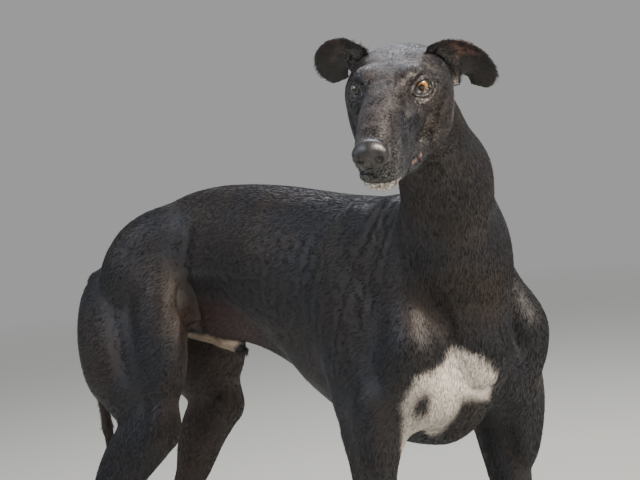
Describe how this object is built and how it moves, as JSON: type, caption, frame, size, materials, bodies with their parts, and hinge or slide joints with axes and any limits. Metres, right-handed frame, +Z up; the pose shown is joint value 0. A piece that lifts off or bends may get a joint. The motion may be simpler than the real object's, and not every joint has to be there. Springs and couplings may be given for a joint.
{
  "type": "greyhound figure",
  "caption": "Life-size standing greyhound: smooth black coat, deep chest, arched loin, head turned to its right, folded ears, tail hanging.",
  "frame": {"origin": "floor point under the middle of the bounding box", "axes": "+X towards the chest, +Y to the dog's left, +Z up"},
  "size_m": [0.9601, 0.4506, 0.8851],
  "materials": {
    "coat": "short smooth black hair with a soft sheen",
    "nose_leather": "fine pebbled black nose skin, moist",
    "eye": "amber iris under a clear wet front"
  },
  "bodies": {
    "root": {"torso": "coat", "neck": "coat", "head": "coat", "nose": "nose_leather", "ear_left": "coat", "ear_right": "coat", "eye_left": "eye", "eye_right": "eye", "tail_base": "coat", "tail_tip": "coat", "upper_arm_left": "coat", "forearm_left": "coat", "forepaw_left": "coat", "thigh_left": "coat", "shank_left": "coat", "hindfoot_left": "coat", "upper_arm_right": "coat", "forearm_right": "coat", "forepaw_right": "coat", "thigh_right": "coat", "shank_right": "coat", "hindfoot_right": "coat"}
  },
  "joints": []
}
